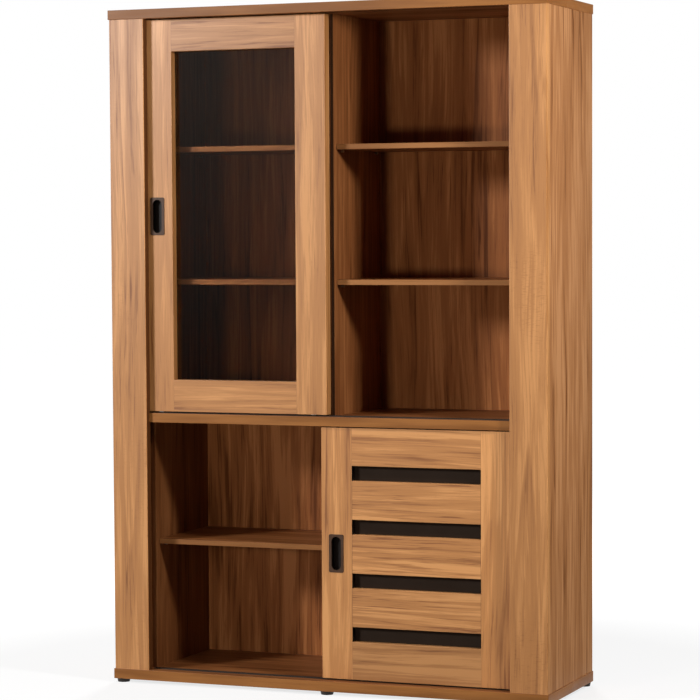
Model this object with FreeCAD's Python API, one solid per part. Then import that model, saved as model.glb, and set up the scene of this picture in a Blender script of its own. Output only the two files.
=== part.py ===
import FreeCAD, Part
import os

# A bookcase with two sliding doors, in millimetres. X runs to the right, Y to the back and Z up.
# The origin is on the floor, under the middle of the case.

V = FreeCAD.Vector
ALONG_X = V(1, 0, 0)
ALONG_Y = V(0, 1, 0)
ALONG_Z = V(0, 0, 1)

# ---------------------------------------------------------------- the case as a whole
overall_width = 1222.0
overall_depth = 400.0
overall_height = 1800.0

# ---------------------------------------------------------------- horizontal boards
top_board_thickness = 25.0
middle_board_thickness = 25.0
base_board_thickness = 27.0
lower_bay_height = 666.0              # clear height between the base board and the middle board
board_front_overhang = 3.0            # top and base board, in front of the pilasters
board_side_overhang = 2.5             # top and base board, outside the side panels
middle_board_set_back = 15.0          # behind the front faces of the pilasters
board_edge_radius = 1.0

# ---------------------------------------------------------------- uprights and back
pilaster_width = 101.0
pilaster_thickness = 20.0
pilaster_edge_radius = 2.0
outer_side_panel_thickness = 18.0
inner_side_panel_thickness = 18.0
jamb_thickness = 18.0
partition_thickness = 25.0
back_panel_thickness = 6.0
back_panel_clearance = 0.5            # at each side, between the outer side panels

# ---------------------------------------------------------------- shelves and their pins
shelf_thickness = 14.0
shelf_set_back = 18.5                 # behind the front edges of the partitions
shelf_side_clearance = 1.0
shelf_rear_clearance = 2.0
upper_low_shelf_height = 342.0        # underside, above the middle board
upper_high_shelf_height = 695.0       # underside, above the middle board
lower_shelf_height = 334.0            # underside, above the base board
pin_radius = 2.5
pin_depth = 8.0                       # into the upright
pin_head_radius = 3.5
pin_head_length = 8.0                 # out of the upright, under the shelf
pin_inset = 35.0                      # from the shelf's front and rear edges
pin_seat_gap = 0.05                   # between a pin head and the shelf on it

# ---------------------------------------------------------------- doors
door_thickness = 29.0
door_front_clearance = 1.5            # behind the pilasters
door_rear_clearance = 2.0             # in front of the partitions
door_head_gap = 3.0
door_floor_gap = 5.0
door_pocket_depth = 15.0              # how far a door runs in behind a pilaster
door_stop_clearance = 0.5             # between a door's edge and the jamb that stops it
door_centre_lap = 2.0                 # a closed door reaches this far past the middle of the case
lower_door_rest_gap = 12.5            # the lower door stands this far short of its right-hand stop
door_edge_radius = 1.0
stile_width = 85.0
upper_rail_height = 84.5
glass_depth = 24.0                    # from the door's face to the glass
glass_thickness = 3.0
glass_rebate = 8.0                    # how far the glass rebate runs into the frame
glass_clearance = 1.0
slat_height = 101.5
slat_count = 3
slot_height = 39.0
slat_thickness = 17.5
backing_panel_thickness = 4.0
backing_panel_lap = 10.0              # over the stiles and the end rails
backing_panel_clearance = 0.5

# ---------------------------------------------------------------- flush handles
handle_inset = 41.0                   # centre of the handle, from the door's left edge
flange_width = 41.0
flange_length = 100.0
flange_thickness = 1.5
flange_corner_radius = 4.0
flange_edge_radius = 0.6
recess_width = 27.0
recess_length = 88.0
recess_depth = 15.0                   # from the door's face
cup_wall = 1.5
cup_clearance = 0.3

# ---------------------------------------------------------------- rollers, tracks and guides
track_width = 12.0
track_height = 2.5
track_groove_width = 7.0
track_groove_depth = 1.5
wheel_radius = 12.0
wheel_width = 6.0
wheel_tread_radius = 0.8              # rounding of the tread's two edges
wheel_running_gap = 0.3               # under the tread
wheel_rim_thickness = 2.5
wheel_web_recess = 1.5                # on each side of the wheel
hub_radius = 4.2
hub_width = 7.4
axle_radius = 2.0
axle_running_clearance = 0.05
housing_length = 36.0
housing_width = 14.0
housing_roof = 3.0
housing_slot_width = 8.0
housing_wheel_clearance = 1.7         # over the wheel
housing_fit = 0.2                     # around the housing in its mortise
channel_width = 12.0
channel_depth = 9.0
channel_wall = 1.2
channel_fit = 0.1
guide_length = 30.0
guide_width = 12.0
guide_depth = 22.0                    # down into the stile
guide_fit = 0.2
guide_pin_radius = 4.5
guide_pin_headroom = 1.5              # between a guide pin and the channel's floor

# ---------------------------------------------------------------- dust seals on the partitions
seal_width = 7.0
seal_door_gap = 0.3
seal_end_gap = 2.0

# ---------------------------------------------------------------- feet
foot_height = 10.0
foot_top_radius = 18.0
foot_bottom_radius = 16.0
foot_side_inset = 19.0                # from the ends of the base board
foot_edge_inset = 21.0                # from the front and rear edges of the base board
foot_stem_radius = 5.0
foot_stem_length = 14.0

# ---------------------------------------------------------------- dowels and screws
dowel_radius = 4.0
dowel_length = 30.0
dowel_board_depth = 11.0              # the shorter end, in a board, a pilaster or a side panel
dowel_inset = 40.0                    # from the edges of the panel that it joins
dowel_row_count = 3
pilaster_dowel_spacing = 50.0
pilaster_dowel_end_inset = 150.0
pilaster_dowel_count = 4
door_dowel_length = 44.0
door_dowel_depth = 9.0                # from the door's face to the dowel's centre line
door_dowel_spacing = 40.0
screw_radius = 1.6
screw_length = 18.0
screw_head_radius = 3.4
screw_head_height = 2.0
screw_end_inset = 60.0
upper_screw_count = 5
lower_screw_count = 3
board_screw_count = 4                 # in each half of the middle board's rear edge
board_screw_end_inset = 70.0
bore_clearance = 0.05                 # around dowels, pins and screws
bore_end_clearance = 0.5              # past their ends

# ---------------------------------------------------------------- planes that the sizes lead to
half_width = overall_width / 2
front = -overall_depth / 2
rear = overall_depth / 2
side_outer = half_width - board_side_overhang
side_inner = side_outer - outer_side_panel_thickness
clear_half = side_outer - pilaster_width
half_partition = partition_thickness / 2
pilaster_front = front + board_front_overhang
pilaster_back = pilaster_front + pilaster_thickness
door_front = pilaster_back + door_front_clearance
door_back = door_front + door_thickness
door_middle = (door_front + door_back) / 2
interior_front = door_back + door_rear_clearance
back_panel_front = rear - back_panel_thickness
shelf_front = interior_front + shelf_set_back
shelf_rear = back_panel_front - shelf_rear_clearance

base_bottom = foot_height
base_top = base_bottom + base_board_thickness
middle_bottom = base_top + lower_bay_height
middle_top = middle_bottom + middle_board_thickness
middle_height = (middle_bottom + middle_top) / 2
top_bottom = overall_height - top_board_thickness
upper_bay_height = top_bottom - middle_top

pocket_end = clear_half + door_pocket_depth
door_reach = pocket_end - door_stop_clearance
door_width = door_reach + door_centre_lap
door_opening_width = door_width - 2 * stile_width
door_travel = 2 * door_reach - door_width
upper_door_left = -door_reach
lower_door_left = -door_centre_lap - lower_door_rest_gap
upper_door_span = (middle_top + door_floor_gap, top_bottom - door_head_gap)
lower_door_span = (base_top + door_floor_gap, middle_bottom - door_head_gap)
wheel_lift = track_height - track_groove_depth + wheel_running_gap
wheel_height = wheel_lift + wheel_radius - door_floor_gap      # centre, above the door's lower edge
housing_slot_height = wheel_height + wheel_radius + housing_wheel_clearance


# ---------------------------------------------------------------- shapes that many pieces need
def block(x, y, z):
    """A box from three (low, high) pairs."""
    return Part.makeBox(x[1] - x[0], y[1] - y[0], z[1] - z[0], V(x[0], y[0], z[0]))


def about(centre, width):
    """The (low, high) pair of a width laid out about its centre."""
    return (centre - width / 2, centre + width / 2)


def both_sides(side, near, far):
    """The (low, high) pair between two distances from the middle, on the left (-1) or right (1)."""
    return tuple(sorted((side * near, side * far)))


def same(one, other):
    """Whether two lengths are the same, to a millionth of a millimetre."""
    return abs(one - other) < 1e-6


def spread(low, high, count):
    """Evenly spaced positions, the first at low and the last at high."""
    return [low + (high - low) * step / (count - 1) for step in range(count)]


def rod(radius, start, axis, length, clearance=0.0, end_clearance=0.0):
    """A round bar, or the bore that it sits in."""
    base = start - axis * end_clearance
    return Part.makeCylinder(radius + clearance, length + 2 * end_clearance, base, axis)


def bored(shape, tools):
    """A piece with a hole for each of the bores that reach into it."""
    reaching = [tool for tool in tools if tool.BoundBox.intersect(shape.BoundBox)]
    if not reaching:
        return shape
    return shape.cut(reaching).removeSplitter()


def rounded(shape, radius, axis, test):
    """A piece with its edges along an axis rounded, where the test holds at the edge's middle."""
    picked = []
    for edge in shape.Edges:
        run = edge.Vertexes[-1].Point - edge.Vertexes[0].Point
        if run.Length > 0 and same(abs(run.dot(axis)), run.Length) and test(edge.CenterOfMass):
            picked.append(edge)
    return shape.makeFillet(radius, picked)


def stadium(width, length, x, z, y):
    """An upright bar along Y with half-round ends, of a width in X and a length in Z."""
    radius = width / 2
    low = z - length / 2 + radius
    high = z + length / 2 - radius
    left_low = V(x - radius, y[0], low)
    left_high = V(x - radius, y[0], high)
    right_low = V(x + radius, y[0], low)
    right_high = V(x + radius, y[0], high)
    over = Part.Arc(left_high, V(x, y[0], high + radius), right_high).toShape()
    under = Part.Arc(right_low, V(x, y[0], low - radius), left_low).toShape()
    left = Part.LineSegment(left_low, left_high).toShape()
    right = Part.LineSegment(right_high, right_low).toShape()
    outline = Part.Wire([left, over, right, under])
    return Part.Face(outline).extrude(ALONG_Y * (y[1] - y[0]))


# ---------------------------------------------------------------- where the fasteners are
def dowel(start, axis, clearance=0.0, end_clearance=0.0):
    """A carcass dowel from its end in a board."""
    return rod(dowel_radius, start, axis, dowel_length, clearance, end_clearance)


def end_dowels(x, y, low, high, clearance, end_clearance):
    """Two upright dowels that hold the ends of an upright to the boards under and over it."""
    under = dowel(V(x, y, low - dowel_board_depth), ALONG_Z, clearance, end_clearance)
    over = dowel(V(x, y, high + dowel_board_depth), -ALONG_Z, clearance, end_clearance)
    return [under, over]


def carcass_dowels(clearance=0.0, end_clearance=0.0):
    """Every dowel of the carcass, or the bores for them."""
    made = []
    fit = (clearance, end_clearance)
    outer_rows = spread(pilaster_back + dowel_inset, rear - dowel_inset, dowel_row_count)
    inner_rows = spread(interior_front + dowel_inset, back_panel_front - dowel_inset, dowel_row_count)
    pilaster_row = (pilaster_front + pilaster_back) / 2
    jamb_row = (pilaster_back + interior_front) / 2
    for side in (-1, 1):
        outer_x = side * (side_outer + side_inner) / 2
        inner_x = side * (clear_half + inner_side_panel_thickness / 2)
        jamb_x = side * (pocket_end + jamb_thickness / 2)
        for y in outer_rows:
            made += end_dowels(outer_x, y, base_top, top_bottom, *fit)
        for y in inner_rows:
            made += end_dowels(inner_x, y, base_top, top_bottom, *fit)
            start = V(side * (clear_half + dowel_board_depth), y, middle_height)
            made.append(dowel(start, ALONG_X * -side, *fit))
        for x in about(side * (clear_half + pilaster_width / 2), pilaster_dowel_spacing):
            made += end_dowels(x, pilaster_row, base_top, top_bottom, *fit)
        made += end_dowels(jamb_x, jamb_row, base_top, top_bottom, *fit)
        heights = spread(base_top + pilaster_dowel_end_inset, top_bottom - pilaster_dowel_end_inset,
                         pilaster_dowel_count)
        for z in heights:
            made.append(dowel(V(outer_x, pilaster_back - dowel_board_depth, z), ALONG_Y, *fit))
    for y in inner_rows:
        made += end_dowels(0.0, y, base_top, middle_bottom, *fit)
        made += end_dowels(0.0, y, middle_top, top_bottom, *fit)
    return made


def back_panel_screws(clearance=0.0, end_clearance=0.0):
    """The countersunk screws that hold the back panels, or the bores for them."""
    inner_x = clear_half + inner_side_panel_thickness / 2
    points = []
    for x in (-inner_x, 0.0, inner_x):
        lower = spread(base_top + screw_end_inset, middle_bottom - screw_end_inset, lower_screw_count)
        upper = spread(middle_top + screw_end_inset, top_bottom - screw_end_inset, upper_screw_count)
        points += [(x, z) for z in lower + upper]
    for z in about(middle_height, middle_board_thickness / 2):
        for side in (-1, 1):
            reach = spread(board_screw_end_inset, clear_half - board_screw_end_inset, board_screw_count)
            points += [(side * x, z) for x in reach]
    made = []
    for x, z in points:
        head = Part.makeCone(screw_head_radius + clearance, screw_radius + clearance, screw_head_height,
                             V(x, rear, z), -ALONG_Y)
        shank = rod(screw_radius + clearance, V(x, rear - screw_head_height, z), -ALONG_Y,
                    screw_length - screw_head_height + end_clearance)
        made.append(head.fuse(shank).removeSplitter())
    return made


def bay_shelves():
    """Where each shelf lies: its name, its (left, right) bay and the height of its underside."""
    left_bay = (-clear_half, -half_partition)
    right_bay = (half_partition, clear_half)
    high = middle_top + upper_high_shelf_height
    low = middle_top + upper_low_shelf_height
    bottom = base_top + lower_shelf_height
    return [
        ("upper_left_high_shelf", left_bay, high),
        ("upper_left_low_shelf", left_bay, low),
        ("upper_right_high_shelf", right_bay, high),
        ("upper_right_low_shelf", right_bay, low),
        ("lower_left_shelf", left_bay, bottom),
        ("lower_right_shelf", right_bay, bottom),
    ]


def pin_places():
    """The wall that each shelf pin is in and the way it points: (start, axis) pairs at the wall's face."""
    places = []
    for _, bay, underside in bay_shelves():
        z = underside - pin_seat_gap - pin_head_radius
        for y in (shelf_front + pin_inset, shelf_rear - pin_inset):
            places.append((V(bay[0], y, z), ALONG_X))
            places.append((V(bay[1], y, z), -ALONG_X))
    return places


def pin_bores():
    """The blind holes for the shelf pins."""
    return [rod(pin_radius, start - axis * pin_depth, axis, pin_depth, bore_clearance, bore_end_clearance)
            for start, axis in pin_places()]


carcass_bores = carcass_dowels(bore_clearance, bore_end_clearance)
screw_bores = back_panel_screws(bore_clearance, bore_end_clearance)
pin_holes = pin_bores()
upright_bores = carcass_bores + screw_bores + pin_holes


# ---------------------------------------------------------------- boards
def foot_places():
    """The centres of the six feet, in X and Y."""
    reach_x = half_width - foot_side_inset
    reach_y = overall_depth / 2 - foot_edge_inset
    return [(x, y) for x in (-reach_x, 0.0, reach_x) for y in (-reach_y, reach_y)]


def outer_board(z):
    """The top or the base board, with its front and side edges eased."""
    board = block((-half_width, half_width), (front, rear), z)
    board = rounded(board, board_edge_radius, ALONG_X, lambda middle: middle.y < 0)
    return rounded(board, board_edge_radius, ALONG_Y, lambda middle: True)


def channel_groove(board_underside):
    """The groove in a board's underside for a guide channel."""
    return block((-clear_half, clear_half), about(door_middle, channel_width + 2 * channel_fit),
                 (board_underside, board_underside + channel_depth + channel_fit))


def top_board():
    """The board over everything, with the upper door's channel let into its underside."""
    board = outer_board((top_bottom, overall_height))
    return bored(board, carcass_bores + [channel_groove(top_bottom)])


def base_board():
    """The board on the feet, bored from below for their stems."""
    stems = [rod(foot_stem_radius, V(x, y, base_bottom), ALONG_Z, foot_stem_length, bore_clearance,
                 bore_end_clearance) for x, y in foot_places()]
    return bored(outer_board((base_bottom, base_top)), carcass_bores + stems)


def middle_board():
    """The board between the bays, with an ear at each end that floors the door pocket."""
    z = (middle_bottom, middle_top)
    board = block((-clear_half, clear_half), (pilaster_front + middle_board_set_back, back_panel_front), z)
    board = rounded(board, board_edge_radius, ALONG_X, lambda middle: middle.y < 0)
    for side in (-1, 1):
        ear = block(both_sides(side, clear_half, pocket_end), (pilaster_back, interior_front), z)
        board = board.fuse(ear)
    return bored(board.removeSplitter(), carcass_bores + screw_bores + [channel_groove(middle_bottom)])


# ---------------------------------------------------------------- uprights and back
def outer_side_panel(side):
    """The side panel that is seen from outside."""
    panel = block(both_sides(side, side_inner, side_outer), (pilaster_back, rear), (base_top, top_bottom))
    return bored(panel, upright_bores)


def inner_side_panel(side):
    """The side panel that closes the bays, with the shelf pins in it."""
    width = both_sides(side, clear_half, clear_half + inner_side_panel_thickness)
    panel = block(width, (interior_front, back_panel_front), (base_top, top_bottom))
    return bored(panel, upright_bores)


def front_pilaster(side):
    """The wide post in front of a boxed side, with its two front corners rounded."""
    width = both_sides(side, clear_half, side_outer)
    post = block(width, (pilaster_front, pilaster_back), (base_top, top_bottom))
    post = rounded(post, pilaster_edge_radius, ALONG_Z, lambda middle: same(middle.y, pilaster_front))
    return bored(post, carcass_bores)


def door_jamb(side):
    """The strip that closes the door pocket behind a pilaster, and stops the doors."""
    width = both_sides(side, pocket_end, pocket_end + jamb_thickness)
    strip = block(width, (pilaster_back, interior_front), (base_top, top_bottom))
    return bored(strip, carcass_bores)


def partition(z):
    """The upright between two bays."""
    panel = block((-half_partition, half_partition), (interior_front, back_panel_front), z)
    return bored(panel, upright_bores)


def back_panel(z):
    """A thin panel across both bays, between the outer side panels."""
    reach = side_inner - back_panel_clearance
    return bored(block((-reach, reach), (back_panel_front, rear), z), screw_bores)


# ---------------------------------------------------------------- shelves, pins, seals and feet
def shelf(bay, underside):
    """A loose shelf that lies on four pins."""
    x = (bay[0] + shelf_side_clearance, bay[1] - shelf_side_clearance)
    board = block(x, (shelf_front, shelf_rear), (underside, underside + shelf_thickness))
    radius = min(board_edge_radius, shelf_thickness / 3)
    return rounded(board, radius, ALONG_X, lambda middle: same(middle.y, shelf_front))


def shelf_pins():
    """Turned pins, thin in the upright and thicker under the shelf."""
    made = []
    for start, axis in pin_places():
        shank = rod(pin_radius, start - axis * pin_depth, axis, pin_depth)
        head = rod(pin_head_radius, start, axis, pin_head_length)
        made.append(shank.fuse(head).removeSplitter())
    return made


def partition_dust_seals():
    """Pile strips on the front edges of both partitions, two on each."""
    y = (interior_front - door_rear_clearance + seal_door_gap, interior_front)
    made = []
    for low, high in ((base_top, middle_bottom), (middle_top, top_bottom)):
        for side in (-1, 1):
            width = both_sides(side, half_partition - seal_width, half_partition)
            made.append(block(width, y, (low + seal_end_gap, high - seal_end_gap)))
    return made


def feet():
    """Moulded feet, each with a stem pressed up into the base board."""
    made = []
    for x, y in foot_places():
        disc = Part.makeCone(foot_bottom_radius, foot_top_radius, foot_height, V(x, y, 0))
        stem = rod(foot_stem_radius, V(x, y, foot_height), ALONG_Z, foot_stem_length)
        made.append(disc.fuse(stem).removeSplitter())
    return made


# ---------------------------------------------------------------- tracks and guide channels
def door_track(board_top):
    """The runner on a board, with a groove for the wheels."""
    x = (-clear_half, clear_half)
    strip = block(x, about(door_middle, track_width), (board_top, board_top + track_height))
    top = board_top + track_height
    return strip.cut(block(x, about(door_middle, track_groove_width), (top - track_groove_depth, top)))


def guide_channel(board_underside):
    """The channel in a board's underside that the guide pins run in."""
    x = (-clear_half, clear_half)
    outer = block(x, about(door_middle, channel_width), (board_underside, board_underside + channel_depth))
    inner = block(x, about(door_middle, channel_width - 2 * channel_wall),
                  (board_underside, board_underside + channel_depth - channel_wall))
    return outer.cut(inner)


# ---------------------------------------------------------------- what both doors have
def door_edges(left):
    """The (low, high) pairs of a door's left stile, opening and right stile."""
    first = left + stile_width
    second = first + door_opening_width
    return (left, first), (first, second), (second, second + stile_width)


def stile_centres(left):
    """The middles of a door's two stiles, where its rollers and guides are."""
    return (left + stile_width / 2, left + door_width - stile_width / 2)


def roller_housings(left, bottom):
    """Forks in the feet of the stiles that hold the wheels."""
    made = []
    for x in stile_centres(left):
        body = block(about(x, housing_length), about(door_middle, housing_width),
                     (bottom, bottom + housing_slot_height + housing_roof))
        slot = block(about(x, housing_length), about(door_middle, housing_slot_width),
                     (bottom, bottom + housing_slot_height))
        bore = rod(axle_radius, V(x, door_middle - housing_width / 2, bottom + wheel_height), ALONG_Y,
                   housing_width, bore_clearance, bore_end_clearance)
        made.append(body.cut([slot, bore]).removeSplitter())
    return made


def roller_mortises(left, bottom):
    """The mortises for the roller housings."""
    y = about(door_middle, housing_width + 2 * housing_fit)
    z = (bottom, bottom + housing_slot_height + housing_roof + housing_fit)
    return [block(about(x, housing_length + 2 * housing_fit), y, z) for x in stile_centres(left)]


def roller_axles(left, bottom):
    """The fixed pins that the wheels turn on."""
    return [rod(axle_radius, V(x, door_middle - housing_width / 2, bottom + wheel_height), ALONG_Y,
                housing_width) for x in stile_centres(left)]


def roller_wheel(x, bottom):
    """A nylon wheel with a rounded tread, a thin web and a longer hub."""
    centre = V(x, door_middle, bottom + wheel_height)
    tread = rod(wheel_radius, centre - ALONG_Y * (wheel_width / 2), ALONG_Y, wheel_width)
    tread = tread.makeFillet(wheel_tread_radius, [edge for edge in tread.Edges if len(edge.Vertexes) == 1])
    for side in (-1, 1):
        face = centre + ALONG_Y * (side * wheel_width / 2)
        hollow = rod(wheel_radius - wheel_rim_thickness, face, ALONG_Y * -side, wheel_web_recess)
        tread = tread.cut(hollow)
    hub = rod(hub_radius, centre - ALONG_Y * (hub_width / 2), ALONG_Y, hub_width)
    bore = rod(axle_radius, centre - ALONG_Y * (hub_width / 2), ALONG_Y, hub_width,
               axle_running_clearance, bore_end_clearance)
    return tread.fuse(hub).cut(bore).removeSplitter()


def top_guides(left, top):
    """Guides in the heads of the stiles, each with a pin that stands up into the channel."""
    pin_height = door_head_gap + channel_depth - channel_wall - guide_pin_headroom
    made = []
    for x in stile_centres(left):
        body = block(about(x, guide_length), about(door_middle, guide_width), (top - guide_depth, top))
        pin = rod(guide_pin_radius, V(x, door_middle, top), ALONG_Z, pin_height)
        made.append(body.fuse(pin).removeSplitter())
    return made


def guide_mortises(left, top):
    """The mortises for the top guides."""
    y = about(door_middle, guide_width + 2 * guide_fit)
    z = (top - guide_depth - guide_fit, top)
    return [block(about(x, guide_length + 2 * guide_fit), y, z) for x in stile_centres(left)]


def door_dowels(left, rails, clearance=0.0, end_clearance=0.0):
    """Two dowels in each end of each rail or slat, or the bores for them."""
    _, opening, _ = door_edges(left)
    made = []
    for x in opening:
        for low, high in rails:
            for z in about((low + high) / 2, door_dowel_spacing):
                start = V(x - door_dowel_length / 2, door_front + door_dowel_depth, z)
                made.append(rod(dowel_radius, start, ALONG_X, door_dowel_length, clearance, end_clearance))
    return made


def flush_handle(left, span):
    """A moulded flush pull: a flat flange on the door's face, and a cup let into the stile."""
    x = left + handle_inset
    z = (span[0] + span[1]) / 2
    face = door_front - flange_thickness
    flange = block(about(x, flange_width), (face, door_front), about(z, flange_length))
    flange = rounded(flange, flange_corner_radius, ALONG_Y, lambda middle: True)
    rim = [edge for edge in flange.Edges if same(edge.BoundBox.YMax, face)]
    flange = flange.makeFillet(flange_edge_radius, rim)
    cup = stadium(recess_width + 2 * cup_wall, recess_length + 2 * cup_wall, x, z,
                  (door_front, door_front + recess_depth + cup_wall))
    hollow = stadium(recess_width, recess_length, x, z, (face, door_front + recess_depth))
    return flange.fuse(cup).cut(hollow).removeSplitter()


def handle_pocket(left, span):
    """The pocket in the stile for the handle's cup."""
    growth = 2 * (cup_wall + cup_clearance)
    depth = recess_depth + cup_wall + cup_clearance
    return stadium(recess_width + growth, recess_length + growth, left + handle_inset,
                   (span[0] + span[1]) / 2, (door_front, door_front + depth))


def stile(width, span, outer_edge, tools):
    """An upright of a door's frame, full height, with its outer front edge eased."""
    post = block(width, (door_front, door_back), span)
    post = rounded(post, door_edge_radius, ALONG_Z,
                   lambda middle: same(middle.y, door_front) and same(middle.x, outer_edge))
    return bored(post, tools)


def rail(width, depth, span, eased, tools):
    """A rail or slat between the stiles, with the front edges beside an opening eased."""
    bar = block(width, depth, span)
    bar = rounded(bar, door_edge_radius, ALONG_X,
                  lambda middle: same(middle.y, door_front) and any(same(middle.z, z) for z in eased))
    return bored(bar, tools)


# ---------------------------------------------------------------- the upper door
def upper_door():
    """The tall glazed door, closed over the left bay."""
    bottom, top = upper_door_span
    left_post, opening, right_post = door_edges(upper_door_left)
    rails = [(bottom, bottom + upper_rail_height), (top - upper_rail_height, top)]
    window = (rails[0][1], rails[1][0])
    glass_front = door_front + glass_depth
    rebate = block((opening[0] - glass_rebate, opening[1] + glass_rebate), (glass_front, door_back),
                   (window[0] - glass_rebate, window[1] + glass_rebate))
    tools = [rebate, handle_pocket(upper_door_left, upper_door_span)]
    tools += roller_mortises(upper_door_left, bottom) + guide_mortises(upper_door_left, top)
    tools += door_dowels(upper_door_left, rails, bore_clearance, bore_end_clearance)
    depth = (door_front, door_back)
    lap = glass_rebate - glass_clearance
    pane_x = (opening[0] - lap, opening[1] + lap)
    pane_z = (window[0] - lap, window[1] + lap)
    bead_y = (glass_front + glass_thickness, door_back)
    beads = [block(x, bead_y, pane_z) for x in ((pane_x[0], opening[0]), (opening[1], pane_x[1]))]
    beads += [block(opening, bead_y, z) for z in ((pane_z[0], window[0]), (window[1], pane_z[1]))]
    first, second = stile_centres(upper_door_left)
    return {
        "upper_door_left_stile": stile(left_post, upper_door_span, left_post[0], tools),
        "upper_door_right_stile": stile(right_post, upper_door_span, right_post[1], tools),
        "upper_door_bottom_rail": rail(opening, depth, rails[0], [window[0]], tools),
        "upper_door_top_rail": rail(opening, depth, rails[1], [window[1]], tools),
        "upper_door_glass": block(pane_x, (glass_front, glass_front + glass_thickness), pane_z),
        "upper_door_glass_beads": beads,
        "upper_door_handle": flush_handle(upper_door_left, upper_door_span),
        "upper_door_roller_housings": roller_housings(upper_door_left, bottom),
        "upper_door_roller_axles": roller_axles(upper_door_left, bottom),
        "upper_door_left_wheel": roller_wheel(first, bottom),
        "upper_door_right_wheel": roller_wheel(second, bottom),
        "upper_door_top_guides": top_guides(upper_door_left, top),
        "upper_door_dowels": door_dowels(upper_door_left, rails),
    }


# ---------------------------------------------------------------- the lower door
def lower_door():
    """The low slatted door, over the right bay."""
    bottom, top = lower_door_span
    left_post, opening, right_post = door_edges(lower_door_left)
    slatted = slat_count * slat_height + (slat_count + 1) * slot_height
    end_rail = (top - bottom - slatted) / 2
    rails = [(bottom, bottom + end_rail), (top - end_rail, top)]
    pitch = slat_height + slot_height
    slats = [(rails[1][0] - slot_height - slat_height - pitch * step,
              rails[1][0] - slot_height - pitch * step) for step in range(slat_count)]
    recess = (rails[0][1] - backing_panel_lap, rails[1][0] + backing_panel_lap)
    panel_front = door_front + slat_thickness
    rebate = block((opening[0] - backing_panel_lap, opening[1] + backing_panel_lap),
                   (panel_front, door_back), recess)
    tools = [rebate, handle_pocket(lower_door_left, lower_door_span)]
    tools += roller_mortises(lower_door_left, bottom) + guide_mortises(lower_door_left, top)
    tools += door_dowels(lower_door_left, rails + slats, bore_clearance, bore_end_clearance)
    depth = (door_front, door_back)
    lap = backing_panel_lap - backing_panel_clearance
    first, second = stile_centres(lower_door_left)
    made = {
        "lower_door_left_stile": stile(left_post, lower_door_span, left_post[0], tools),
        "lower_door_right_stile": stile(right_post, lower_door_span, right_post[1], tools),
        "lower_door_bottom_rail": rail(opening, depth, rails[0], [rails[0][1]], tools),
        "lower_door_top_rail": rail(opening, depth, rails[1], [rails[1][0]], tools),
        "lower_door_backing_panel": block(
            (opening[0] - lap, opening[1] + lap), (panel_front, panel_front + backing_panel_thickness),
            (rails[0][1] - lap, rails[1][0] + lap)),
        "lower_door_handle": flush_handle(lower_door_left, lower_door_span),
        "lower_door_roller_housings": roller_housings(lower_door_left, bottom),
        "lower_door_roller_axles": roller_axles(lower_door_left, bottom),
        "lower_door_left_wheel": roller_wheel(first, bottom),
        "lower_door_right_wheel": roller_wheel(second, bottom),
        "lower_door_top_guides": top_guides(lower_door_left, top),
        "lower_door_dowels": door_dowels(lower_door_left, rails + slats),
    }
    for number, span in enumerate(slats, start=1):
        made["lower_door_slat_%d" % number] = rail(opening, (door_front, panel_front), span, span, tools)
    return made


# ---------------------------------------------------------------- the whole bookcase
def carcass():
    """Everything that stands still."""
    made = {
        "top_board": top_board(),
        "middle_board": middle_board(),
        "base_board": base_board(),
        "lower_partition": partition((base_top, middle_bottom)),
        "upper_partition": partition((middle_top, top_bottom)),
        "lower_back_panel": back_panel((base_top, middle_height)),
        "upper_back_panel": back_panel((middle_height, top_bottom)),
        "lower_door_track": door_track(base_top),
        "upper_door_track": door_track(middle_top),
        "lower_door_guide_channel": guide_channel(middle_bottom),
        "upper_door_guide_channel": guide_channel(top_bottom),
        "shelf_pins": shelf_pins(),
        "partition_dust_seals": partition_dust_seals(),
        "feet": feet(),
        "carcass_dowels": carcass_dowels(),
        "back_panel_screws": back_panel_screws(),
    }
    for name, side in (("left", -1), ("right", 1)):
        made[name + "_outer_side_panel"] = outer_side_panel(side)
        made[name + "_inner_side_panel"] = inner_side_panel(side)
        made[name + "_front_pilaster"] = front_pilaster(side)
        made[name + "_door_jamb"] = door_jamb(side)
    for name, bay, underside in bay_shelves():
        made[name] = shelf(bay, underside)
    return made


os.makedirs("parts", exist_ok=True)
pieces = {**carcass(), **upper_door(), **lower_door()}
for name, shape in pieces.items():
    if isinstance(shape, list):
        shape = Part.makeCompound(shape)
    shape.exportStep("parts/" + name + ".step")
    print(name, len(shape.Solids), "solids,", "valid" if shape.isValid() else "NOT VALID")
print("door travel", door_travel)
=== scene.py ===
import math

import bpy
from mathutils import Euler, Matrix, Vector


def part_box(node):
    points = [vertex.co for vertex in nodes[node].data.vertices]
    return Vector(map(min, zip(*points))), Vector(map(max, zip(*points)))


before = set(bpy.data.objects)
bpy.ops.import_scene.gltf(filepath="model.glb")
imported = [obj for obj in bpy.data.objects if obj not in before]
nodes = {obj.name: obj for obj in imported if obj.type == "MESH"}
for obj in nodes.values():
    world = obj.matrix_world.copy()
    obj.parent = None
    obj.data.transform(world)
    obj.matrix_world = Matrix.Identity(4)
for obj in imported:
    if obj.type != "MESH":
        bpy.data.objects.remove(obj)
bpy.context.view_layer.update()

# ---------------------------------------------------------------- the camera
# A long lens at the height of the upper shelves and to the right of the bookcase, so that its
# front and its right-hand side both show.
camera_lens = bpy.data.cameras.new("camera")
camera_lens.lens = 139.6
camera_lens.sensor_width = 36
camera_lens.shift_x = 0.0601
camera_lens.shift_y = 0.0454
camera = bpy.data.objects.new("camera", camera_lens)
camera.location = (2.6414, -6.7179, 1.2221)
camera.rotation_euler = (math.radians(86.734), math.radians(0.350), math.radians(22.346))
bpy.context.scene.collection.objects.link(camera)
bpy.context.scene.camera = camera


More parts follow.
